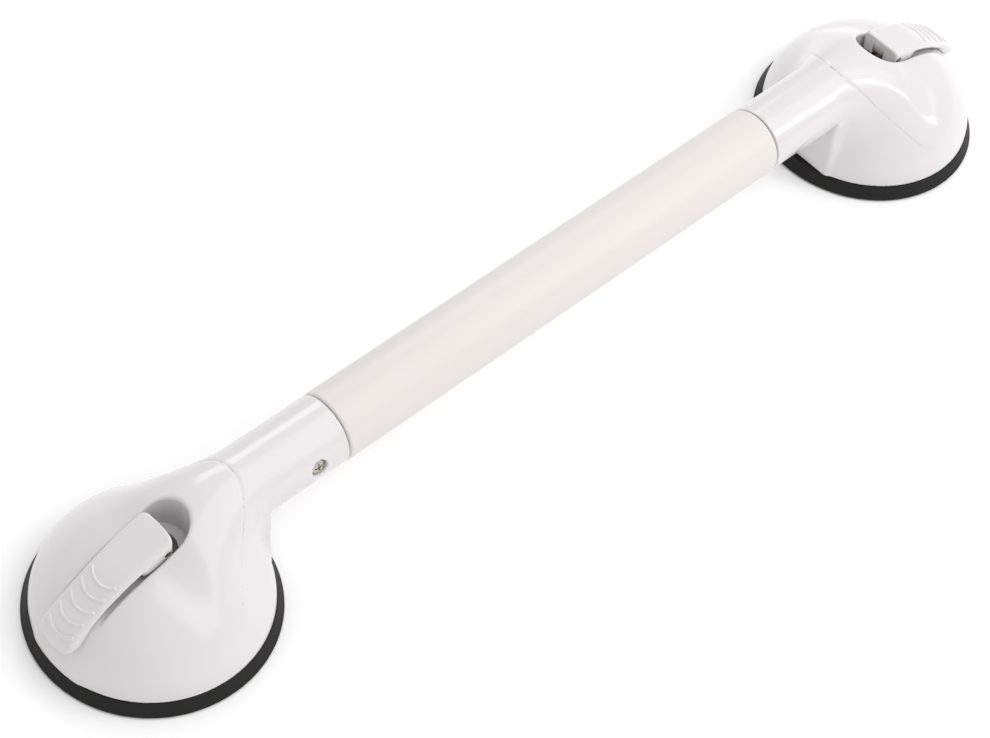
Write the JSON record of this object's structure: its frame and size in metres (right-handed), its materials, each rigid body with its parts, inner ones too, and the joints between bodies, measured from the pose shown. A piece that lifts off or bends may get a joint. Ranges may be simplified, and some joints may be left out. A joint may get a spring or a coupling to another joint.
{
  "type": "suction grab bar",
  "caption": "Grab bar with a round soft grip between domed suction hubs, each pulled onto a smooth wall by a cam lever that lies flush in its hub.",
  "frame": {"origin": "on the wall plane, halfway between the two suction axes, under the bar", "axes": "+X along the bar from the left hub to the right hub, +Y across it, +Z straight out of the wall"},
  "size_m": [0.56, 0.11, 0.0627],
  "materials": {
    "gloss_white": "glossy injection-moulded off-white plastic",
    "soft_grip": "satin off-white grip, slightly warmer than the hubs",
    "black_rubber": "smooth dull black rubber",
    "dark_plastic": "dark moulded plastic",
    "inner_plastic": "self-lubricating natural plastic",
    "bright_steel": "bright turned steel",
    "aluminium_tube": "drawn aluminium tube"
  },
  "bodies": {
    "frame": {"bar_tube": "aluminium_tube", "grip_sleeve": "soft_grip", "left_arm_housing": "gloss_white", "left_dome_cover": "gloss_white", "left_suction_pad": "black_rubber", "left_cam_seat": "dark_plastic", "left_guide_bush": "inner_plastic", "left_return_spring": "bright_steel", "left_tube_screw": "bright_steel", "left_cover_screw_1": "bright_steel", "left_cover_screw_2": "bright_steel", "left_cover_screw_3": "bright_steel", "left_cover_screw_4": "bright_steel", "right_arm_housing": "gloss_white", "right_dome_cover": "gloss_white", "right_suction_pad": "black_rubber", "right_cam_seat": "dark_plastic", "right_guide_bush": "inner_plastic", "right_return_spring": "bright_steel", "right_tube_screw": "bright_steel", "right_cover_screw_1": "bright_steel", "right_cover_screw_2": "bright_steel", "right_cover_screw_3": "bright_steel", "right_cover_screw_4": "bright_steel"},
    "left_stud": {"left_pad_stud": "bright_steel", "left_pressure_plate": "dark_plastic"},
    "left_cam_lever": {"left_lever": "gloss_white", "left_lever_pin": "bright_steel"},
    "right_stud": {"right_pad_stud": "bright_steel", "right_pressure_plate": "dark_plastic"},
    "right_cam_lever": {"right_lever": "gloss_white", "right_lever_pin": "bright_steel"}
  },
  "joints": [
    {"name": "left_stud_slide", "type": "slide", "parent": "frame", "child": "left_stud", "axis": [0, 0, -1], "range_m": [0, 0.0035], "deforming": ["left_suction_pad", "left_return_spring"]},
    {"name": "left_lever_hinge", "type": "hinge", "parent": "left_stud", "child": "left_cam_lever", "pos_m": [-0.225, 0, 0.05], "axis": [0, 1, 0], "range_deg": [0, 80]},
    {"name": "right_stud_slide", "type": "slide", "parent": "frame", "child": "right_stud", "axis": [0, 0, -1], "range_m": [0, 0.0035], "deforming": ["right_suction_pad", "right_return_spring"]},
    {"name": "right_lever_hinge", "type": "hinge", "parent": "right_stud", "child": "right_cam_lever", "pos_m": [0.225, 0, 0.05], "axis": [0, -1, 0], "range_deg": [0, 80]}
  ],
  "couplings": [
    {"joint": "left_stud_slide", "follows": "left_lever_hinge", "m_per_rad": 0.002506},
    {"joint": "right_stud_slide", "follows": "right_lever_hinge", "m_per_rad": 0.002506}
  ]
}
